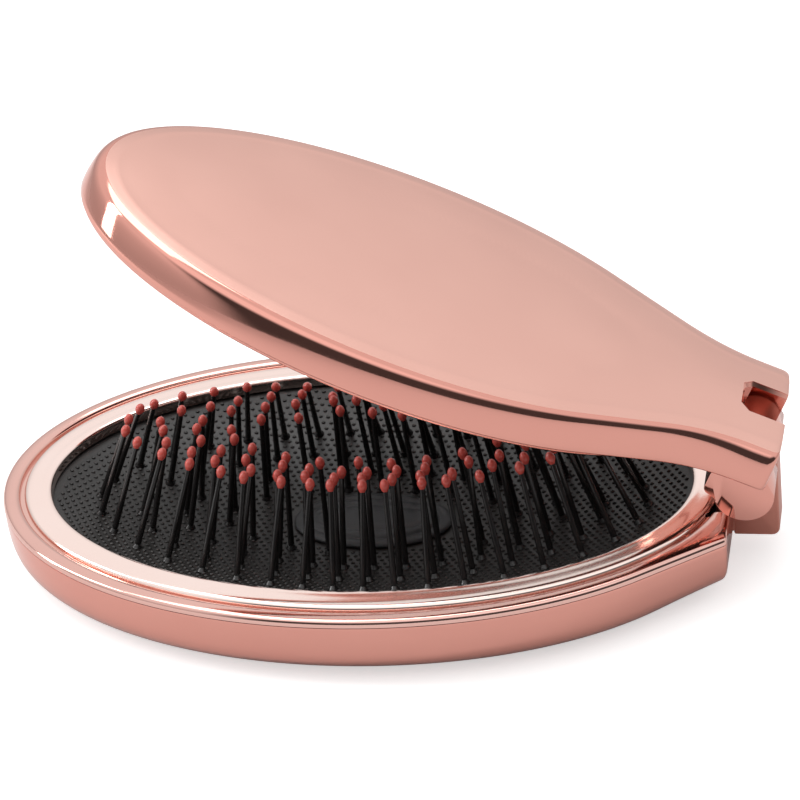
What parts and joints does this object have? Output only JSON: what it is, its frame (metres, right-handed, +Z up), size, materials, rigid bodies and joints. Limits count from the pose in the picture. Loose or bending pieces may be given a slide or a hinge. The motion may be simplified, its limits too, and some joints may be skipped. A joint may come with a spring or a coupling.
{
  "type": "folding hairbrush with mirror",
  "caption": "Pocket hairbrush: oval base with a hollow rubber cushion and ball-tipped pins, hinged oval lid with a mirror inside, shown half open.",
  "frame": {"origin": "middle of the base oval, on its flat underside", "axes": "+X from the middle of the base to the hinge, +Z up out of the cushion; the hinge axis runs along Y"},
  "size_m": [0.1186, 0.0712, 0.0672],
  "materials": {
    "rose_shell": "vacuum-metallised rose gold over moulded ABS, clear lacquered",
    "pale_rose": "paler vacuum-metallised rose gold over moulded ABS",
    "knuckle_rose": "rose gold paint over moulded acetal, satin",
    "black_plastic": "moulded, unpainted",
    "cushion_rubber": "moulded elastomer with a fine dimple pattern",
    "black_nylon": "smooth moulded nylon",
    "ball_nylon": "dipped ball tips, brick rose",
    "steel": "plain",
    "washer_nylon": "natural nylon",
    "mirror_glass": "silvered glass",
    "foam_tape": "thin white foam adhesive"
  },
  "bodies": {
    "base": {"base_tray": "rose_shell", "base_frame": "rose_shell", "rim_ring": "pale_rose", "clamp_ring": "black_plastic", "clamp_screws": "steel", "cushion": "cushion_rubber", "hinge_knuckle": "knuckle_rose", "knuckle_screws": "steel"},
    "pin_field": {"press_pad": "cushion_rubber", "pins_outer": "black_nylon", "pins_second": "black_nylon", "pins_third": "black_nylon", "pins_inner": "black_nylon", "balls_outer": "ball_nylon", "balls_second": "ball_nylon", "balls_third": "ball_nylon", "balls_inner": "ball_nylon"},
    "lid": {"lid_shell": "pale_rose", "mirror_frame": "rose_shell", "mirror": "mirror_glass", "mirror_tape": "foam_tape", "hinge_pin": "steel", "friction_washers": "washer_nylon"}
  },
  "joints": [
    {"name": "lid_hinge", "type": "hinge", "parent": "base", "child": "lid", "pos_m": [0.057, 0, 0.0164], "axis": [0, 1, 0], "range_deg": [-24.7, 155.3]},
    {"name": "cushion_press", "type": "slide", "parent": "base", "child": "pin_field", "axis": [0, 0, -1], "range_m": [0, 0.001], "stiffness_N_per_m": 3000, "deforming": ["cushion"]}
  ]
}
